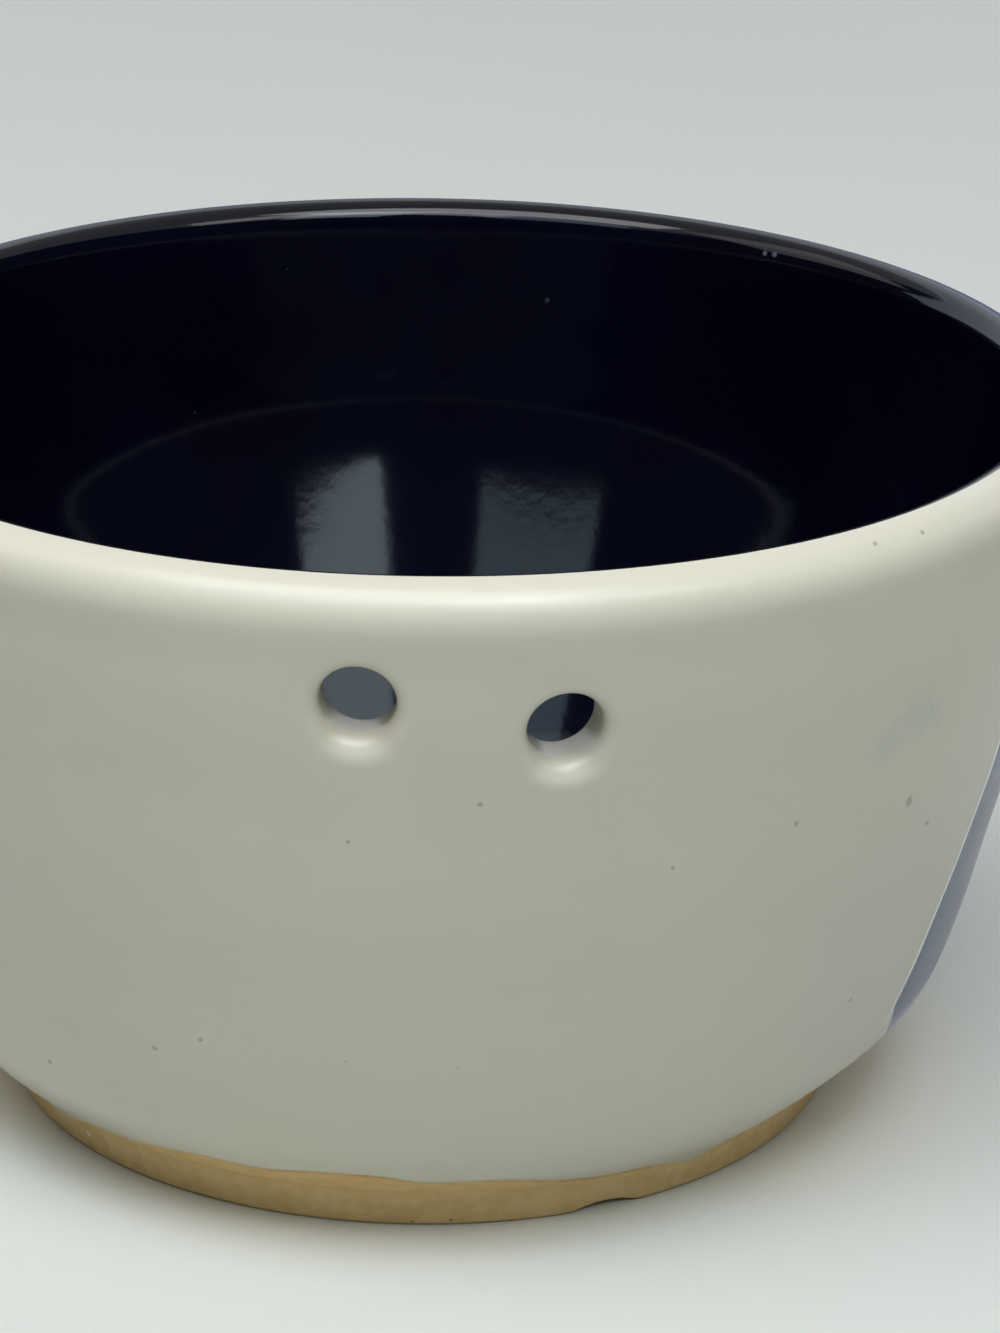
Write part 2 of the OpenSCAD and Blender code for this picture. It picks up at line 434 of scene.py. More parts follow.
class SideHole:
    """A hole through the wall: its middle, its outward direction and two across it."""

    def __init__(self, azimuth, z, rise_in):
        self.middle = place(azimuth, (clay_outer(z) + inner_clay(z)) / 2, z)
        self.out = place(azimuth, math.cos(rise_in), -math.sin(rise_in))
        self.across = self.out.cross((0, 0, 1)).normalized()
        self.upward = self.across.cross(self.out)

    def distance(self, point):
        offset = point - self.middle
        return (offset - self.out * offset.dot(self.out)).length

    def ring_point(self, point, turn, side, under=0):
        """Moves a point to one ring: turn 0 lies on the wall, a quarter turn in the bore."""
        offset = point - self.middle
        around = Vector((offset.dot(self.across), offset.dot(self.upward))).normalized()
        below, above = HOLE_EDGES[side]
        edge = below + (above - below) * (1 + around.y) / 2 - under
        wide = HOLE_R + under + edge * (1 - math.sin(turn))
        start = self.middle + wide * (around.x * self.across + around.y * self.upward)
        surface_r = SURFACES[side, under]
        reach = side * WALL / 2
        for _ in range(HOLE_PULLS):
            azimuth, radius = polar(start + self.out * reach)
            reach += surface_r(azimuth, (start + self.out * reach).z) - radius
        return start + self.out * (reach - side * edge * (1 - math.cos(turn)))


side_holes = [SideHole(*values) for values in SIDE_HOLES]
for hole in side_holes:
    print("side hole, middle in mm:", [round(c / MM, 1) for c in hole.middle])


# %% Opening a hole
def free_edges(verts):
    return list({e for v in verts for e in v.link_edges if e.is_boundary})


def extrude_ring(bm, ring, move):
    """Extrudes a ring of free edges and moves the new points."""
    made = bmesh.ops.extrude_edge_only(bm, edges=free_edges(ring))["geom"]
    ring = [v for v in made if isinstance(v, bmesh.types.BMVert)]
    for v in ring:
        v.co = move(v.co)
    return ring


def cut_round(bm, hole, side):
    """Takes out the faces round a hole and returns the ragged edge that is left."""
    reach = HOLE_R + max(HOLE_EDGES[side]) + HOLE_CLEAR
    close = {v for v in bm.verts if 0 < (v.co - hole.middle).dot(hole.out) * side < 2 * WALL
             and hole.distance(v.co) < reach}
    inside = {f for v in close for f in v.link_faces}
    rim_verts = {v for f in inside for v in f.verts} - close
    bmesh.ops.delete(bm, geom=list(inside), context="FACES")
    rim_verts = {v for v in rim_verts if v.is_valid}
    return [e for e in free_edges(rim_verts) if set(e.verts) <= rim_verts]


def open_side_hole(bm, hole, side, turns, under=0, far_from_edges=()):
    """Opens a hole in a surface and rounds its edge; turns are (turn, side) pairs."""
    rim = cut_round(bm, hole, side)
    hole_axes = Matrix((hole.across, hole.upward, hole.out)).transposed().to_4x4()
    ring = bmesh.ops.create_circle(bm, segments=HOLE_SIDES, radius=HOLE_R,
                                   matrix=Matrix.Translation(hole.middle) @ hole_axes)["verts"]
    for v in ring:
        v.co = hole.ring_point(v.co, 0, side, under)
    for layer, value in far_from_edges:
        for v in ring:
            v[layer] = value
    loop = list({e for v in ring for e in v.link_edges})
    bmesh.ops.bridge_loops(bm, edges=rim + loop)
    for turn, turn_side in turns:
        ring = extrude_ring(bm, ring, lambda co: hole.ring_point(co, turn, turn_side, under))
    return ring


FAR = 60
layers = outside.verts.layers.float
far_off = [(layers["above_line"], FAR), (layers["from_dip"], -FAR)]
through = [(t, 1) for t in steps(0, QUARTER, 8)[1:]]
through += [(t, -1) for t in steps(QUARTER, LINER_TURN, 4)]
for hole in side_holes:
    open_side_hole(outside, hole, 1, through, far_from_edges=far_off)
facing(outside, True)
print("outside with its holes:", len(outside.faces), "faces")

# %% [markdown]
# ## White coat and blue coat
# The surface is copied, and each copy keeps the faces of one glaze. A Solidify modifier then
# gives the coat its half millimetre, inwards, down to the clay.

# %% Two coats
def coat(surface, keep_blue, name):
    bm = surface.copy()
    blue = bm.faces.layers.int["blue"]
    other = [f for f in bm.faces if bool(f[blue]) != keep_blue]
    bmesh.ops.delete(bm, geom=other, context="FACES")
    return finished(bm, name, thickness=GLAZE)


white_coat = coat(outside, False, "white_coat")
blue_coat = coat(outside, True, "blue_coat")
outside.free()
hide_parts("white_glaze")
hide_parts("blue_glaze")

# %% [markdown]
# ## The dark liner
# The liner glaze starts at the crest, covers the inside and ends in the drain holes. Its
# outline is the lip, the wall, the cove and the floor's rim; the flat floor is then filled
# round nineteen rings of points, and each ring is extruded down into its hole.

# %% Liner
LEAN_AT_COVE = math.atan(inside_slope(COVE_TOP))
COVE_R = (COVE_TOP - FLOOR) / (1 - math.sin(LEAN_AT_COVE))
COVE_AXIS = inner_clay(COVE_TOP) - COVE_R * math.cos(LEAN_AT_COVE)
COVE_STEPS = 20
FLOOR_RIM = COVE_AXIS + 1 * MM
DRAIN_R = 2.5 * MM
DRAIN_EDGE = 0.8 * MM
DRAIN_PITCH = 11 * MM
DRAIN_SIDES = 32
LINER_END = 8.2 * MM
drains = [Vector((0, 0, 0))] + [
    place(math.tau * (i / count) + QUARTER, ring * DRAIN_PITCH, 0)
    for ring, count in ((1, 6), (2, 12)) for i in range(count)
]


def cove(radius, rim):
    """The arc from the wall down towards the floor, as far as the floor's rim."""
    last = math.acos((rim - COVE_AXIS) / radius)
    return [(COVE_AXIS + radius * math.cos(a), FLOOR + COVE_R - radius * math.sin(a))
            for a in steps(LEAN_AT_COVE, last, COVE_STEPS)]


def ring_at(bm, centre, radius, z):
    return bmesh.ops.create_circle(bm, segments=DRAIN_SIDES, radius=radius,
                                   matrix=Matrix.Translation(centre + Vector((0, 0, z))))["verts"]


def scaled_to(centre, radius, z):
    def move(co):
        offset = co - centre
        offset.z = 0
        return centre + offset.normalized() * radius + Vector((0, 0, z))
    return move


def fill_round(bm, rim, rings):
    """Fills a flat floor between its rim and the rings in it."""
    edges = free_edges(rim) + [e for ring in rings for e in {e for v in ring for e in v.link_edges}]
    bmesh.ops.triangle_fill(bm, edges=edges, use_beauty=True, use_dissolve=False)


print("cove radius:", round(COVE_R / MM, 2), "mm;", len(drains), "drain holes")

# %% Inside surface
SOFTENINGS = 3
FLAT_START = 0.7 * MM
DRAIN_CLEAR = 0.5 * MM
HOLE_GAP, FLOOR_GAP = 13, 70


def softened(line, times):
    """Averages each point with its neighbours; the two ends stay."""
    for _ in range(times):
        line = line[:1] + [tuple((a + 2 * b + c) / 4 for a, b, c in zip(*three))
                           for three in zip(line, line[1:], line[2:])] + line[-1:]
    return line


wall_levels = steps(BEVEL_Z, COVE_TOP, 2 * round((BEVEL_Z - COVE_TOP) / ROW))
wall_line = [(inner_r(z), z) for z in wall_levels[1:-1]]
inside_line = softened(inner_lip() + wall_line + cove(COVE_R - GLAZE, FLOOR_RIM), SOFTENINGS)
floor_top = inside_line[-1][1]
inside_line.append((FLOOR_RIM - FLAT_START, floor_top))
liner = turned(inside_line)
crest_gap = liner.verts.layers.float.new("from_crest")
thin = liner.verts.layers.float.new("thin")
for v in liner.verts:
    azimuth, radius = polar(v.co)
    fade = min(max((v.co.z - floor_top) / COVE_H, 0), 1)
    v.co = place(azimuth, radius + fade * wobble(azimuth, v.co.z), v.co.z)
    v[crest_gap] = (Vector((radius, v.co.z)) - Vector((CREST_R, BOWL_H))).length / MM
inner_edge = [(t, -1) for t in steps(0, LINER_TURN, 4)[1:]]
for hole in side_holes:
    open_side_hole(liner, hole, -1, inner_edge, far_from_edges=[(crest_gap, HOLE_GAP)])
print("liner without its floor:", len(liner.faces), "faces")

# %% Drain holes in the liner
rim = [v for v in liner.verts if v.is_boundary and polar(v.co)[1] < FLOOR_RIM]
mouths = []
for centre in drains:
    mouth = ring_at(liner, centre, DRAIN_R + DRAIN_EDGE + DRAIN_CLEAR, floor_top)
    for v in mouth:
        v[crest_gap] = FLOOR_GAP
    mouths.append(list(mouth))
fill_round(liner, rim, mouths)
for centre, ring in zip(drains, mouths):
    for turn in steps(0, QUARTER, 5):
        radius = DRAIN_R + DRAIN_EDGE * (1 - math.sin(turn))
        level = floor_top - DRAIN_EDGE * (1 - math.cos(turn))
        ring = extrude_ring(liner, ring, scaled_to(centre, radius, level))
        for v in ring:
            v[thin] = math.sin(2 * turn)
    for level in steps(floor_top - DRAIN_EDGE, LINER_END, 3)[1:]:
        ring = extrude_ring(liner, ring, scaled_to(centre, DRAIN_R, level))
facing(liner, False)
cobalt_liner = finished(liner, "cobalt_liner", thickness=GLAZE)
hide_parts("liner_glaze")

# %% [markdown]
# ## The clay of the wall
# The wall's clay is wholly hidden by the glazes. It is a closed piece all the same: the same
# two surfaces half a millimetre further in and a hair's breadth clear of the coats, joined
# over the lip, at the base and through the two holes.

# %% Wall clay
SHY = 0.03 * MM
WALL_ROWS = 40
BASE_GAP = 0.2 * MM
BASE_STEP = 0.1 * MM


def clay_wall_surface():
    half, drop = WALL / 2 - SHY, LIP_DROP - SHY
    line = [(clay_outer(z) - SHY, z) for z in steps(WALL_Z, LIP_Z, WALL_ROWS)]
    line += [(CREST_R + half * math.cos(a), LIP_Z + drop * math.sin(a))
             for a in steps(0, QUARTER, 8)[1:-1]]
    line += inner_lip(LIP_TURN - GLAZE - SHY)
    line += [(inner_clay(z) + SHY, z) for z in steps(BEVEL_Z, COVE_TOP, WALL_ROWS)[1:-1]]
    line += [(r + SHY, z) for r, z in cove(COVE_R, FLOOR_RIM) if z > WALL_Z + BASE_GAP]
    line += [(line[-1][0] - BASE_STEP, WALL_Z)]
    bm = turned(line, closed=True)
    for v in bm.verts:
        azimuth, radius = polar(v.co)
        v.co = place(azimuth, radius + wobble(azimuth, v.co.z), v.co.z)
    all_round = [(t, 1) for t in steps(0, QUARTER, 4)[1:]]
    all_round += [(t, -1) for t in steps(QUARTER, 0, 4)]
    for hole in side_holes:
        inner_rim = cut_round(bm, hole, -1)
        ring = open_side_hole(bm, hole, 1, all_round, under=GLAZE)
        bmesh.ops.bridge_loops(bm, edges=inner_rim + free_edges(ring))
    bmesh.ops.recalc_face_normals(bm, faces=bm.faces)
    print("wall clay, open edges:", sum(e.is_boundary for e in bm.edges))
    return bm


clay_wall = finished(clay_wall_surface(), "clay_wall")
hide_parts("bowl_wall")

# %% [markdown]
# ## The clay of the floor
# Under the glazes the clay shows only below the glaze line and from underneath. This closed
# piece is the floor with the lowest part of the wall: a turned outline, two flat faces
# filled round the drain holes, and the holes' bores between them.

# %% Floor clay
CLAY_ROWS = 12
COVE_GAP = 0.3 * MM
COVE_STEP = 0.8 * MM
MOUTH = 0.6 * MM

clay_levels = steps(FOOT_H, WALL_Z, CLAY_ROWS)
clay_cove = [p for p in cove(COVE_R, FLOOR_RIM) if p[1] < WALL_Z - COVE_GAP]
section = [(FLOOR_RIM, FOOT_H)]
section += [(r, FOOT_H) for r in steps(FOOT_IN, clay_outer(FOOT_H), 6)]
section += [(clay_outer(z), z) for z in clay_levels[1:]]
section += [(clay_cove[0][0] + COVE_STEP, WALL_Z)] + clay_cove
floor_clay = turned(section)
to_line = floor_clay.verts.layers.float.new("to_line")
for v in floor_clay.verts:
    azimuth, radius = polar(v.co)
    v[to_line] = (line_z(azimuth) - v.co.z) / MM
    if radius > FOOT_R:
        v.co = place(azimuth, radius + wobble(azimuth, v.co.z), v.co.z)
print("floor clay before its drain holes:", len(floor_clay.faces), "faces")

# %% Drain holes in the clay
half_way = (FOOT_H + FLOOR) / 2
loops = [v for v in floor_clay.verts if v.is_boundary]
under_rim = [v for v in loops if v.co.z < half_way]
over_rim = [v for v in loops if v.co.z > half_way]
clay_top = over_rim[0].co.z
under_rings = [list(ring_at(floor_clay, centre, DRAIN_R + MOUTH, FOOT_H)) for centre in drains]
over_rings = []
fill_round(floor_clay, under_rim, under_rings)
glazed_r = DRAIN_R + GLAZE
for centre, ring in zip(drains, under_rings):
    for turn in steps(0, QUARTER, 4)[1:]:
        radius = DRAIN_R + MOUTH * (1 - math.sin(turn))
        level = FOOT_H + MOUTH * (1 - math.cos(turn))
        ring = extrude_ring(floor_clay, ring, scaled_to(centre, radius, level))
    for radius, level in ((DRAIN_R, LINER_END), (glazed_r, LINER_END), (glazed_r, clay_top)):
        ring = extrude_ring(floor_clay, ring, scaled_to(centre, radius, level))
    over_rings.append(ring)
fill_edges = free_edges(over_rim + [v for ring in over_rings for v in ring])
bmesh.ops.triangle_fill(floor_clay, edges=fill_edges, use_beauty=True, use_dissolve=False)
bmesh.ops.recalc_face_normals(floor_clay, faces=floor_clay.faces)
print("floor clay, open edges:", sum(e.is_boundary for e in floor_clay.edges))
clay_floor = finished(floor_clay, "clay_floor")
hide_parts("bowl_floor")

# %% [markdown]
# ## The foot
# The ring was trimmed out of the same clay on the wheel, with softened edges. Three shallow
# notches let water out from under the bowl; in the mesh they are made by lifting the lower
# points of the ring, most at the bottom and not at all at the top.

# %% Foot ring
FOOT_COLUMNS = 576
FOOT_ROWS = 6
FOOT_EDGE = 0.9 * MM
NOTCH_W = 8 * MM
NOTCH_H = 0.8 * MM
NOTCH_R = (NOTCH_W ** 2 / 4 + NOTCH_H ** 2) / (2 * NOTCH_H)
NOTCH_SOFT = 0.12 * MM
NOTCH_LEAST = 0.02 * MM
NOTCHES = [math.radians(26.5 + 120 * i) for i in range(3)]


def notch_lift(azimuth, radius):
    """Height of the notches' roof at one place; it runs out softly on both sides."""
    highest = 0
    for middle in NOTCHES:
        turn = math.remainder(azimuth - middle, math.tau)
        aside = abs(radius * math.sin(turn))
        if abs(turn) < QUARTER and aside < NOTCH_R:
            roof = math.sqrt(NOTCH_R ** 2 - aside ** 2) - NOTCH_R + NOTCH_H
            highest = max(highest, (roof + math.hypot(roof, NOTCH_SOFT)) / 2)
    return highest if highest > NOTCH_LEAST else 0


def foot_section():
    turns = [(a, FOOT_EDGE * (1 - math.cos(a))) for a in steps(0, QUARTER, 5)]
    low = clay_outer(FOOT_EDGE)
    outer = [(low - FOOT_EDGE + FOOT_EDGE * math.sin(a), z) for a, z in turns]
    inner = [(FOOT_IN + FOOT_EDGE * (1 - math.sin(a)), z) for a, z in turns]
    sole = [(r, 0) for r in steps(inner[0][0], outer[0][0], FOOT_ROWS)[1:-1]]
    wall = [(clay_outer(z), z) for z in steps(FOOT_EDGE, FOOT_H, FOOT_ROWS)[1:]]
    top = [(r, FOOT_H) for r in (FOOT_R - FOOT_EDGE, FOOT_IN)]
    return inner[::-1] + sole + outer + wall + top + [(FOOT_IN, FOOT_H / 2)]


foot_mesh = turned(foot_section(), closed=True, columns=FOOT_COLUMNS)
for v in foot_mesh.verts:
    azimuth, radius = polar(v.co)
    z, lift = v.co.z, notch_lift(azimuth, radius)
    if radius > FOOT_IN + FOOT_EDGE:
        radius += wobble(azimuth, z)
    v.co = place(azimuth, radius, z + lift * (1 - z / FOOT_H))
foot = finished(foot_mesh, "foot")
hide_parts("foot_ring")

# %% [markdown]
# ## Tools for the materials
# All patterns read Object coordinates in metres, so they sit still on the bowl. A few small
# helpers keep the recipes short: each adds a node and hands on its output.

# %% Node helpers
def srgb(red, green, blue):
    """A colour as seen on a screen, 0 to 255, as the light that nodes work with."""
    def light(value):
        value /= 255
        return value / 12.92 if value <= 0.04045 else ((value + 0.055) / 1.055) ** 2.4
    return light(red), light(green), light(blue), 1.0


def fill(tree, node, inputs):
    """Gives a node's inputs plain values or other nodes' sockets."""
    for key, value in inputs.items():
        if isinstance(value, bpy.types.NodeSocket):
            tree.links.new(value, node.inputs[key])
        else:
            node.inputs[key].default_value = value
    return node


def add(tree, kind, inputs=None, **settings):
    made = tree.nodes.new("ShaderNode" + kind)
    for name, value in settings.items():
        setattr(made, name, value)
    return fill(tree, made, inputs or {})


def maths(tree, operation, *values):
    return add(tree, "Math", dict(enumerate(values)), operation=operation).outputs[0]


def spread(tree, value, low, high, to_low=0.0, to_high=1.0):
    """Maps a range of values smoothly onto another."""
    return add(tree, "MapRange", {0: value, 1: low, 2: high, 3: to_low, 4: to_high},
               interpolation_type="SMOOTHSTEP").outputs[0]


def mixed(tree, factor, first, second):
    return add(tree, "Mix", {0: factor, 6: first, 7: second}, data_type="RGBA").outputs[2]


def laid_over(tree, tone, mask, strength, colour):
    """Lays a colour over a tone where a mask says, as strongly as stated."""
    return mixed(tree, maths(tree, "MULTIPLY", mask, strength), tone, colour)


def noise(tree, where, scale, detail=2.0, distortion=0.0):
    return add(tree, "TexNoise", {"Vector": where, "Scale": scale, "Detail": detail,
                                  "Distortion": distortion}).outputs[0]


def frayed(tree, where, edge, per_metre, detail, depth):
    """A distance from an edge in millimetres, made uneven by up to the depth."""
    uneven = maths(tree, "MULTIPLY", noise(tree, where, per_metre, detail), depth)
    return maths(tree, "ADD", edge, uneven)


def stretched(tree, where, scale):
    return add(tree, "Mapping", {"Vector": where, "Scale": scale}).outputs[0]


def distance(tree, first, second):
    return add(tree, "VectorMath", {0: first, 1: second}, operation="DISTANCE").outputs["Value"]


def height_of(tree, where):
    return add(tree, "SeparateXYZ", {0: where}).outputs[2]


def attribute(tree, name):
    return add(tree, "Attribute", attribute_name=name).outputs["Fac"]


def bumped(tree, height):
    """The normal of a relief whose height is in metres."""
    return add(tree, "Bump", {"Height": height, "Strength": 1.0, "Distance": 1.0}).outputs[0]


print("mid grey in light:", round(srgb(128, 128, 128)[0], 3))


# %% Groups and materials
VECTOR, VALUE = "NodeSocketVector", "NodeSocketFloat"


def group(name, inputs, outputs):
    """A node group with named sockets; returns its tree, its inputs and its end."""
    tree = bpy.data.node_groups.new(name, "ShaderNodeTree")
    for direction, sockets in (("INPUT", inputs), ("OUTPUT", outputs)):
        for label, kind in sockets.items():
            tree.interface.new_socket(label, in_out=direction, socket_type=kind)
    entry = tree.nodes.new("NodeGroupInput")
    return tree, entry.outputs, tree.nodes.new("NodeGroupOutput")


def spaced(inputs):
    """Input names with their spaces, for which keywords carry underscores."""
    return {key.replace("_", " "): value for key, value in inputs.items()}


def use(tree, grouped, **inputs):
    made = tree.nodes.new("ShaderNodeGroup")
    made.node_tree = grouped
    return fill(tree, made, spaced(inputs)).outputs[0]


def new_material(name, **plain):
    """A material whose shader keeps its plain values on its own sockets."""
    made = bpy.data.materials.new(name)
    made.use_nodes = True
    tree = made.node_tree
    shader = fill(tree, tree.nodes["Principled BSDF"], spaced(plain))
    return made, tree, shader, add(tree, "TexCoord").outputs["Object"]


def told(material):
    print(f"{material.name}: {len(material.node_tree.nodes)} nodes")
    return material


# %% [markdown]
# ## Shared effects
# Three effects that several finishes share are node groups, each built once: fine specks,
# one single mark at a stated place, and the relief of a glaze's skin.

# %% Shared effects
THROWING_RINGS = (6, 6, 150)
MARK_GRAIN = 900


def make_specks():
    """Dots in some cells of a pattern; their size is a share of a cell."""
    tree, given, leave = group("specks", {
        "Vector": VECTOR, "Per metre": VALUE, "Size": VALUE, "Share": VALUE}, {"Mask": VALUE})
    cells = add(tree, "TexVoronoi", {"Vector": given["Vector"], "Scale": given["Per metre"]})
    chance = add(tree, "SeparateColor", {0: cells.outputs["Color"]})
    chosen = maths(tree, "GREATER_THAN", given["Share"], chance.outputs[0])
    size = maths(tree, "MULTIPLY", given["Size"], spread(tree, chance.outputs[1], 0, 1, 0.35, 1))
    reach = maths(tree, "DIVIDE", cells.outputs["Distance"], size)
    dot = maths(tree, "SUBTRACT", 1, spread(tree, reach, 0.5, 1))
    fill(tree, leave, {"Mask": maths(tree, "MULTIPLY", dot, chosen)})
    return tree


def make_mark():
    """One uneven mark; Soft is the share of its radius over which it fades."""
    tree, given, leave = group("mark", {
        "Vector": VECTOR, "Centre": VECTOR, "Radius": VALUE, "Soft": VALUE}, {"Mask": VALUE})
    gap = distance(tree, given["Vector"], given["Centre"])
    uneven = maths(tree, "SUBTRACT", noise(tree, given["Vector"], MARK_GRAIN, 1), 0.5)
    near = maths(tree, "ADD", gap, maths(tree, "MULTIPLY", uneven, given["Radius"]))
    inner = maths(tree, "MULTIPLY", given["Radius"], maths(tree, "SUBTRACT", 1, given["Soft"]))
    fill(tree, leave, {"Mask": spread(tree, near, given["Radius"], inner)})
    return tree


def make_relief():
    """Relief in metres: a glaze's pebbly skin and the rings that fingers left in the clay."""
    tree, given, leave = group("relief", {
        "Vector": VECTOR, "Peel": VALUE, "Rings": VALUE, "Per metre": VALUE}, {"Normal": VECTOR})
    pebbles = noise(tree, given["Vector"], given["Per metre"], 2)
    rings = noise(tree, stretched(tree, given["Vector"], THROWING_RINGS), 1, 1, 0.2)
    height = maths(tree, "ADD", maths(tree, "MULTIPLY", pebbles, given["Peel"]),
                   maths(tree, "MULTIPLY", rings, given["Rings"]))
    fill(tree, leave, {"Normal": bumped(tree, height)})
    return tree


specks, mark, relief = make_specks(), make_mark(), make_relief()
GLAZE_SKIN = {"Peel": 0.012 * MM, "Rings": 0.03 * MM, "Per_metre": 700.0}


def one_mark(tree, where, tone, centre, size, soft, strength, colour):
    mask = use(tree, mark, Vector=where, Centre=centre, Radius=size * MM, Soft=soft)
    return laid_over(tree, tone, mask, strength, colour)


print("groups:", [g.name for g in bpy.data.node_groups])

# %% [markdown]
# ## White satin glaze
# The white is warm, a little uneven and slightly pebbled, with fine dark specks from iron in
# the clay, some single pinholes at their own places and a faint grey green smudge on the
# right. It is thin and warm along its line. A painted highlight makes it lighter over the lip
# and in flat ovals below the lower edges of the two holes, and runs in a line beside the blue.

# %% White glaze
# Heights over which the lip's top is painted lighter, as a painted highlight where light falls.
LIP_PAINTED_LIGHT = 79.1 * MM, 83.8 * MM
# Reach, drop and flattening of the painted highlights below the side holes.
HOLE_HIGHLIGHT_REACH = 0.8 * MM, 4.8 * MM
HOLE_HIGHLIGHT_DROP = 1.2 * MM
HOLE_HIGHLIGHT_FLAT = 2
PINHOLES = [  # azimuth in degrees, height and radius in millimetres
    (5.56, 60.5, 0.33), (-5.3, 55.75, 0.28), (22.7, 50.9, 0.28), (34.7, 53.3, 0.36),
    (49.1, 51.0, 0.8), (53, 46.9, 0.5), (48.1, 26, 0.42), (-20.3, 28.3, 0.4),
    (-25.4, 25.9, 0.4), (-39.9, 19.1, 0.4), (40.5, 84.0, 0.3), (45.9, 83.7, 0.4),
]
SMUDGES = [(47.5, 62.5, 5), (44, 60, 3.5), (50, 61, 3)]


def on_outside(azimuth, z):
    azimuth, z = math.radians(azimuth), z * MM
    if z < LIP_Z:
        return tuple(place(azimuth, outside_r(azimuth, z), z))
    up_the_lip = (z - LIP_Z) / (BOWL_H - LIP_Z)
    radius = CREST_R + (WALL / 2 + GLAZE) * math.sqrt(1 - up_the_lip ** 2)
    return tuple(place(azimuth, radius + wobble(azimuth, z), z))


def painted_hole_highlights(tree, where, tone):
    """Painted highlights: flattened ovals of lighter colour just below the lower edges of the side
    holes.
    """
    flat = stretched(tree, where, (1, 1, HOLE_HIGHLIGHT_FLAT))
    for azimuth, z, _ in SIDE_HOLES:
        radius = outside_r(azimuth, z - HOLE_R)
        below = place(azimuth, radius, HOLE_HIGHLIGHT_FLAT * (z - HOLE_R - HOLE_HIGHLIGHT_DROP))
        painted_highlight = spread(tree, distance(tree, flat, tuple(below)), *HOLE_HIGHLIGHT_REACH, 0.7, 0)
        tone = mixed(tree, painted_highlight, tone, srgb(230, 227, 211))
    return tone


def white_satin():
    made, tree, shader, where = new_material("white satin glaze")
    slow = spread(tree, noise(tree, where, 18, 1), 0.15, 0.85)
    fine = spread(tree, noise(tree, stretched(tree, where, (1, 1, 1.6)), 110, 2), 0.1, 0.9)
    iron = use(tree, specks, Vector=where, Per_metre=420.0, Size=0.11, Share=0.1)
    tone = mixed(tree, slow, srgb(196, 191, 172), srgb(190, 187, 175))
    tone = laid_over(tree, tone, fine, 0.3, srgb(184, 182, 167))
    tone = laid_over(tree, tone, iron, 0.5, srgb(140, 134, 116))
    # Painted highlight: the lip's top is painted lighter, as light falls on it from above.
    painted_light_over_lip = spread(tree, height_of(tree, where), *LIP_PAINTED_LIGHT)
    tone = mixed(tree, painted_light_over_lip, tone, srgb(229, 226, 209))
    # Painted highlights below the lower edges of the side holes.
    tone = painted_hole_highlights(tree, where, tone)
    pinhole, smudge = srgb(112, 110, 92), srgb(140, 158, 154)
    for azimuth, z, size in PINHOLES:
        tone = one_mark(tree, where, tone, on_outside(azimuth, z), size, 0.5, 0.48, pinhole)
    for azimuth, z, size in SMUDGES:
        tone = one_mark(tree, where, tone, on_outside(azimuth, z), size, 0.9, 0.17, smudge)
    edge = attribute(tree, "above_line")
    wash = spread(tree, frayed(tree, where, edge, 250, 3, 1.2), 0.5, 1.6)
    tone = mixed(tree, wash, srgb(196, 186, 158), tone)
    # Painted highlight: a light line along the white's edge beside the blue, fading out towards the
    # glaze line.
    painted_edge_highlight = maths(tree, "MULTIPLY", spread(tree, attribute(tree, "from_dip"), -0.75, -0.35),
                   spread(tree, edge, 3, 12))
    tone = mixed(tree, painted_edge_highlight, tone, srgb(238, 238, 236))
    gloss = spread(tree, noise(tree, where, 60, 1), 0.1, 0.9, 0.21, 0.262)
    skin = use(tree, relief, Vector=where, **GLAZE_SKIN)
    fill(tree, shader, {"Base Color": tone, "Roughness": gloss, "Normal": skin})
    return made


white = told(white_satin())

# %% [markdown]
# ## Blue dip glaze
# Where the blue lies over the white it breaks into soft vertical streaks of slate and grey
# blue with a few pale crystals, and it fades to a purplish fringe along its lower edge.

# %% Blue glaze
def blue_dip():
    made, tree, shader, where = new_material("blue dip glaze", Specular_IOR_Level=0.35)
    streaks = noise(tree, stretched(tree, where, (1, 1, 0.25)), 140, 2)
    clouds = spread(tree, noise(tree, where, 40, 2), 0.2, 0.8)
    crystals = use(tree, specks, Vector=where, Per_metre=500.0, Size=0.16, Share=0.3)
    slate, grey_blue = srgb(62, 73, 100), srgb(91, 100, 128)
    tone = mixed(tree, spread(tree, streaks, 0.2, 0.8), slate, grey_blue)
    tone = laid_over(tree, tone, clouds, 0.5, srgb(79, 88, 117))
    tone = laid_over(tree, tone, crystals, 0.1, srgb(150, 158, 176))
    edge = attribute(tree, "above_line")
    fringe = spread(tree, frayed(tree, where, edge, 160, 3, 3), 2.2, 6)
    tone = mixed(tree, fringe, srgb(140, 142, 176), tone)
    tone = mixed(tree, spread(tree, edge, 0.1, 0.9), srgb(168, 160, 164), tone)
    overlap = spread(tree, attribute(tree, "from_dip"), 0, 1.2)
    tone = mixed(tree, overlap, srgb(92, 106, 130), tone)
    gloss = spread(tree, noise(tree, where, 80, 2), 0.2, 0.8, 0.2, 0.262)
    skin = use(tree, relief, Vector=where, **GLAZE_SKIN)
    fill(tree, shader, {"Base Color": tone, "Roughness": gloss, "Normal": skin})
    return made


blue = told(blue_dip())

# %% [markdown]
# ## Cobalt liner
# A thick, very glossy glaze, so dark that it looks black except where light falls on it.
# Where it thins, over the lip and over the drain holes' edges, the iron shows olive brown.

# %% Cobalt glaze
# One faint pale speck on the far wall, and two painted glints, painted highlights, on the far lip.
LINER_SPECK_AND_GLINTS = [  # azimuth in degrees, height and radius in millimetres, strength
    (167.9, 73.4, 0.45, 0.1), (143.2, 83.2, 0.4, 0.35), (142.0, 83.3, 0.5, 0.35),
]
LINER_SKIN = {"Peel": 0.009 * MM, "Rings": 0.003 * MM, "Per_metre": 520.0}


def on_inside(azimuth, z):
    azimuth = math.radians(azimuth)
    return tuple(place(azimuth, inside_r(azimuth, z * MM), z * MM))


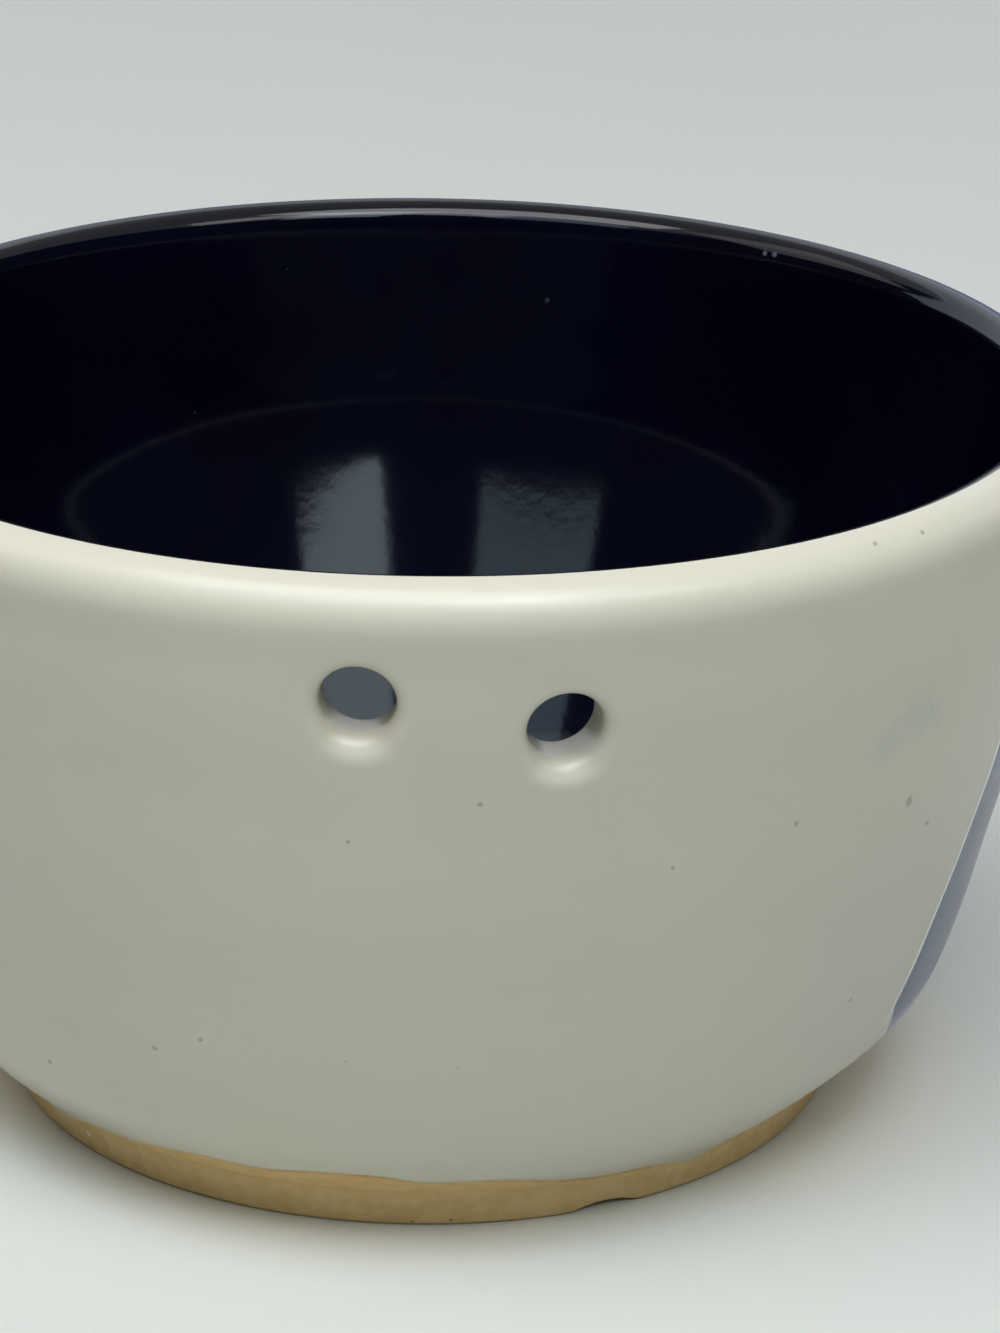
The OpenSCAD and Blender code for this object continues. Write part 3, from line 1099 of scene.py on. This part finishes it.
def cobalt_glaze():
    made, tree, shader, where = new_material("cobalt liner glaze", Roughness=0.085)
    slow = spread(tree, noise(tree, where, 30, 2), 0.3, 0.7)
    dust = use(tree, specks, Vector=where, Per_metre=260.0, Size=0.08, Share=0.05)
    tone = mixed(tree, slow, srgb(2, 3, 17), srgb(4, 6, 25))
    tone = laid_over(tree, tone, dust, 0.5, srgb(120, 130, 150))
    # The pale speck and the painted glints on the lip.
    pale = srgb(150, 160, 176)
    for azimuth, z, size, strength in LINER_SPECK_AND_GLINTS:
        tone = one_mark(tree, where, tone, on_inside(azimuth, z), size, 0.6, strength, pale)
    crest = frayed(tree, where, attribute(tree, "from_crest"), 240, 3, 0.8)
    tone = mixed(tree, spread(tree, crest, 0.5, 1.7), srgb(38, 38, 26), tone)
    brown = spread(tree, attribute(tree, "thin"), 0.5, 1, 0, 0.8)
    tone = mixed(tree, brown, tone, srgb(70, 52, 34))
    skin = use(tree, relief, Vector=where, **LINER_SKIN)
    fill(tree, shader, {"Base Color": tone, "Normal": skin})
    return made


cobalt = told(cobalt_glaze())

# %% [markdown]
# ## Bare stoneware
# The clay is tan and dry, with darker grog grains and the fine grooves of the turning tool.
# A warm flush follows the glaze line, where the glaze's salts coloured the clay.

# %% Bare clay
TAN, DARK_TAN, FLUSH = srgb(214, 186, 132), srgb(202, 171, 114), srgb(204, 158, 98)
FLUSH_HEIGHT = 3.5 * MM, 9.5 * MM
GRAIN_DEEP, GROOVES_DEEP = 0.03 * MM, 0.05 * MM


def bare_clay(name, iron_line=False, spots=()):
    made, tree, shader, where = new_material(name, Roughness=0.75)
    grain = spread(tree, noise(tree, where, 500, 4), 0.3, 0.7)
    grooves = spread(tree, noise(tree, stretched(tree, where, (4, 4, 420)), 1, 2), 0.3, 0.7)
    grog = use(tree, specks, Vector=where, Per_metre=700.0, Size=0.22, Share=0.12)
    tone = mixed(tree, grain, TAN, DARK_TAN)
    tone = laid_over(tree, tone, grooves, 0.3, DARK_TAN)
    tone = laid_over(tree, tone, grog, 0.6, srgb(112, 92, 62))
    near_line = spread(tree, height_of(tree, where), *FLUSH_HEIGHT)
    tone = laid_over(tree, tone, near_line, 0.45, FLUSH)
    pale = srgb(228, 220, 196)
    for azimuth, z, size in spots:
        tone = one_mark(tree, where, tone, on_outside(azimuth, z), size, 0.5, 0.8, pale)
    if iron_line:
        gap = frayed(tree, where, attribute(tree, "to_line"), 300, 2, 0.5)
        tone = mixed(tree, spread(tree, gap, 0.35, 1.0, 0.75, 0), tone, srgb(150, 96, 50))
    height = maths(tree, "ADD", maths(tree, "MULTIPLY", grain, GRAIN_DEEP),
                   maths(tree, "MULTIPLY", grooves, GROOVES_DEEP))
    fill(tree, shader, {"Base Color": tone, "Normal": bumped(tree, height)})
    return made


clay = told(bare_clay("bare stoneware", iron_line=True))
foot_clay = told(bare_clay("bare stoneware foot", spots=[(-49.1, 2.6, 0.5)]))

# %% [markdown]
# ## Dressing the pieces
# Each piece gets its finish. The wall and the floor are one clay, and the foot has its own
# copy of it, without the rusty line under the glaze and with one pale fleck.

# %% Dress the pieces
def dress(piece, material):
    if piece.material_slots:
        for held in piece.material_slots:
            held.material = material
    else:
        piece.data.materials.append(material)


FINISHES = ((white_coat, white), (blue_coat, blue), (cobalt_liner, cobalt),
            (clay_floor, clay), (clay_wall, clay), (foot, foot_clay))
for piece, material in FINISHES:
    dress(piece, material)
print("dressed:", {piece.name: material.name for piece, material in FINISHES})

# %% [markdown]
# ## Floor
# The bowl stands on a plain pale surface that runs on without an edge.

# %% Floor
FLOOR_REACH = 4
FLOOR_SIDES = 96


def scenery(bm, name, material):
    mesh = bpy.data.meshes.new(name)
    bm.to_mesh(mesh)
    bm.free()
    mesh.materials.append(material)
    made = bpy.data.objects.new(name, mesh)
    bpy.context.scene.collection.objects.link(made)
    print(name, "corners:", len(mesh.vertices))
    return made


def pale_floor():
    made, tree, shader, where = new_material("pale floor", Roughness=0.7)
    clouds = spread(tree, noise(tree, where, 3, 3), 0.3, 0.7)
    tone = mixed(tree, clouds, srgb(233, 238, 233), srgb(229, 234, 230))
    fill(tree, shader, {"Base Color": tone})
    bm = bmesh.new()
    bmesh.ops.create_circle(bm, cap_ends=True, segments=FLOOR_SIDES, radius=FLOOR_REACH)
    return scenery(bm, "floor", made)


floor = pale_floor()

# %% [markdown]
# ## What the holes mirror
# The liner mirrors the two side holes, and their mirror images are dark. A black card in
# front of the bowl, which only reflections see, keeps them dark here too.

# %% Dark card
CARD_REACH = 0.62
CARD_W, CARD_H = 0.6, 0.2


def dark_card():
    made, tree, shader, where = new_material("dark cloth", Roughness=0.9)
    tone = mixed(tree, noise(tree, where, 50, 2), srgb(4, 4, 5), srgb(10, 10, 12))
    fill(tree, shader, {"Base Color": tone})
    bm = bmesh.new()
    corners = [(-CARD_W / 2, 0), (CARD_W / 2, 0), (CARD_W / 2, CARD_H), (-CARD_W / 2, CARD_H)]
    bm.faces.new([bm.verts.new((x, -CARD_REACH, z)) for x, z in corners])
    return scenery(bm, "dark_card", made)


card = dark_card()
card.visible_camera = card.visible_diffuse = card.visible_shadow = False

# %% [markdown]
# ## Lights
# The light is soft and comes mostly from above and in front: a dim ceiling, a skylight to
# the front left, a window to the front right and a little from a wall on the left. Two more
# windows leave the pale patches in the liner; their light isn't passed on from surface to
# surface. Only reflections see the left one and the wall behind the bowl.

# %% Lights
WORLD_STRENGTH = 0.03


def soft_light(name, azimuth, elevation, distance, width, height, radiance,
               colour=(1, 1, 1), roll=0):
    """A soft rectangle that looks at the bowl; its power follows from its brightness."""
    data = bpy.data.lights.new(name, "AREA")
    data.shape = "RECTANGLE"
    data.size, data.size_y = width, height
    data.energy = radiance * width * height * math.pi
    data.color = colour
    azimuth, elevation = math.radians(azimuth), math.radians(elevation)
    target = Vector((0, 0, BOWL_H / 2))
    offset = place(azimuth, math.cos(elevation), math.sin(elevation)) * distance
    aim = offset.to_track_quat("Z", "Y").to_matrix().to_4x4()
    aim = aim @ Matrix.Rotation(math.radians(roll), 4, "Z")
    light = bpy.data.objects.new(name, data)
    light.matrix_world = Matrix.Translation(target + offset) @ aim
    light.visible_camera = False
    bpy.context.scene.collection.objects.link(light)
    print(f"{name}: {data.energy:.1f} W")
    return light


soft_light("ceiling", 0, 90, 2.4, 5.5, 5.5, 0.35)
soft_light("skylight", -15, 66, 1.6, 1.6, 0.8, 3.5)
soft_light("front window", 20, 49, 2.0, 2.0, 0.6, 2.1)
soft_light("left wall", -95, 42, 1.8, 1.2, 0.9, 0.7)
right_window = soft_light("right window", 20, 42.1, 2.0, 0.66, 0.92, 2.1,
                          colour=(0.86, 1.05, 1.15), roll=10)
left_window = soft_light("left window", -28.5, 42.2, 2.0, 0.92, 0.9, 0.95,
                         colour=(0.76, 1, 1.2), roll=6)
back_wall = soft_light("back wall", 180, 26, 1.7, 8, 1.0, 0.8, colour=(0.9, 0.96, 1.1))
for light in (right_window, left_window):
    light.data.cycles.max_bounces = 1
for light in (left_window, back_wall):
    light.visible_diffuse = False

world = bpy.data.worlds.new("room")
bpy.context.scene.world = world
world.use_nodes = True
room = world.node_tree.nodes["Background"].inputs
room["Color"].default_value = srgb(235, 240, 245)
room["Strength"].default_value = WORLD_STRENGTH
bpy.context.scene.view_settings.view_transform = "Standard"
